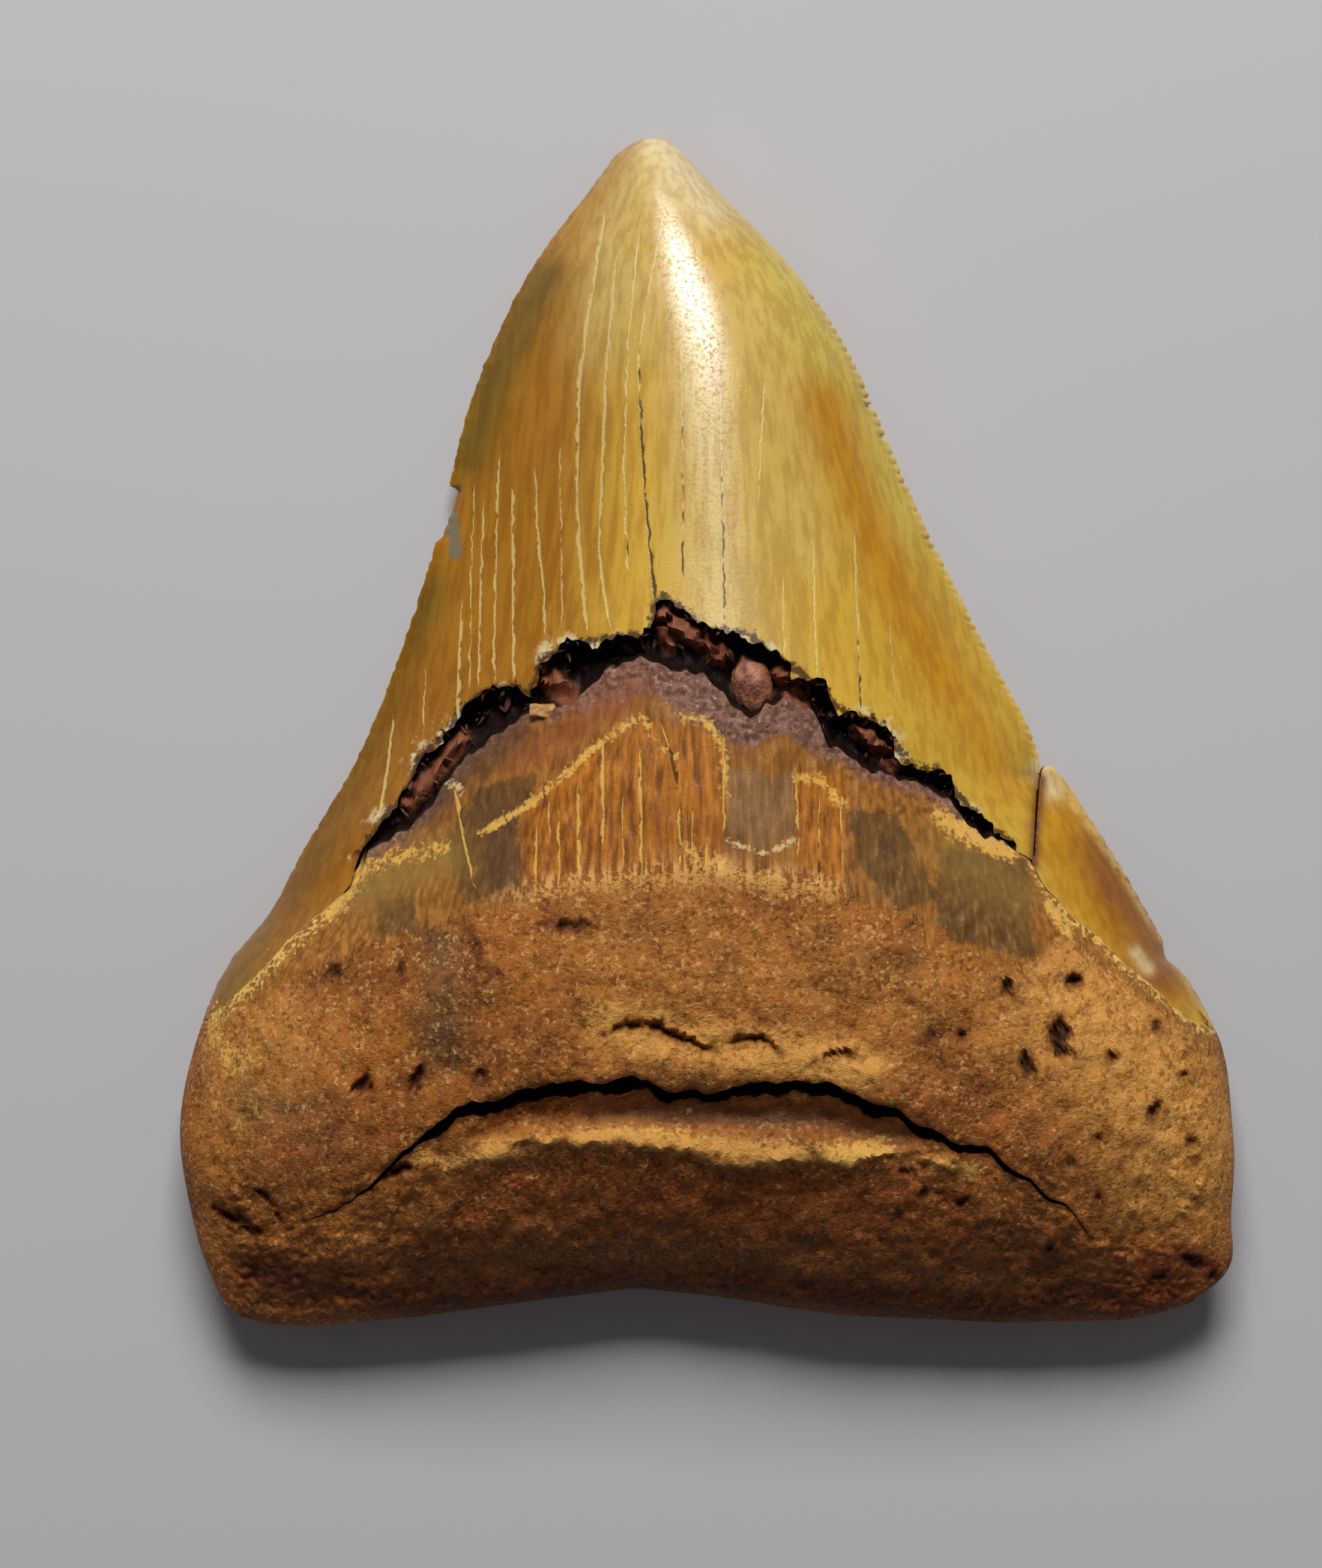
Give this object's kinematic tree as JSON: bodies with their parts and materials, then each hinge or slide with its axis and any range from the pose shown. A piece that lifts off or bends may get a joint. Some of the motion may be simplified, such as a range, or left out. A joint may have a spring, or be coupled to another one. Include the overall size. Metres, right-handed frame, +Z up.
{
  "type": "fossil megalodon tooth",
  "caption": "Fossil shark tooth lying on its flat labial face: pointed enamel crown, ragged crevice below it, and a thick two-lobed root with a deep crack.",
  "frame": {"origin": "centre of the bounding box in plan, on the surface that the tooth lies on", "axes": "+Y towards the crown's tip, +X towards the right root lobe as seen from above, +Z up, out of the convex lingual face"},
  "size_m": [0.0732, 0.0829, 0.0176],
  "materials": {
    "tooth": "fossil enamel, glossy golden brown with fine cracks, on matt grainy brown root dentine",
    "grain": "matt pinkish brown stone grain"
  },
  "bodies": {
    "root": {"tooth": "tooth", "lodged_grain": "grain"}
  },
  "joints": []
}
